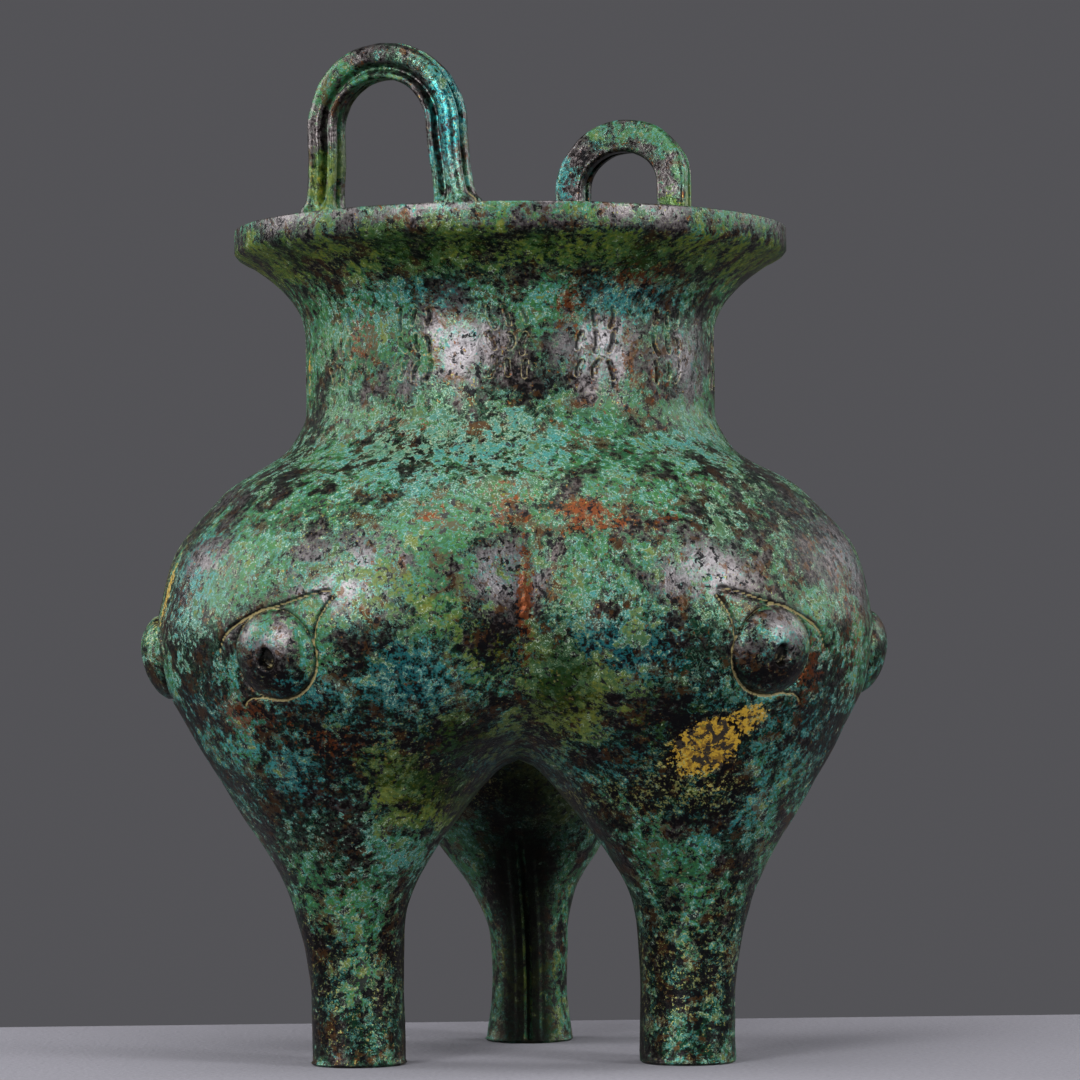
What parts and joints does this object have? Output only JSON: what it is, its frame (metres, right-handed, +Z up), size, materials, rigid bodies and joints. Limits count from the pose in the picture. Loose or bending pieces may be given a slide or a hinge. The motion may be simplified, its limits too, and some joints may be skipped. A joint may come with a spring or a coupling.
{
  "type": "tripod vessel",
  "caption": "Lobed bronze tripod vessel with a flared round rim, loop handles, paired eye bosses on its lobes and solid grooved legs; open, hollow and empty.",
  "frame": {"origin": "on the floor under the middle of the vessel's bounding box; the axis of the rim is 6.4 mm in front of it, toward -Y", "axes": "+Z up; -Y toward the crease between the two front legs, so the third leg is at the back; +X to the viewer's right"},
  "size_m": [0.1584, 0.147, 0.2108],
  "materials": {
    "patinated_bronze": "satin"
  },
  "bodies": {
    "root": {"vessel": "patinated_bronze"}
  },
  "joints": []
}
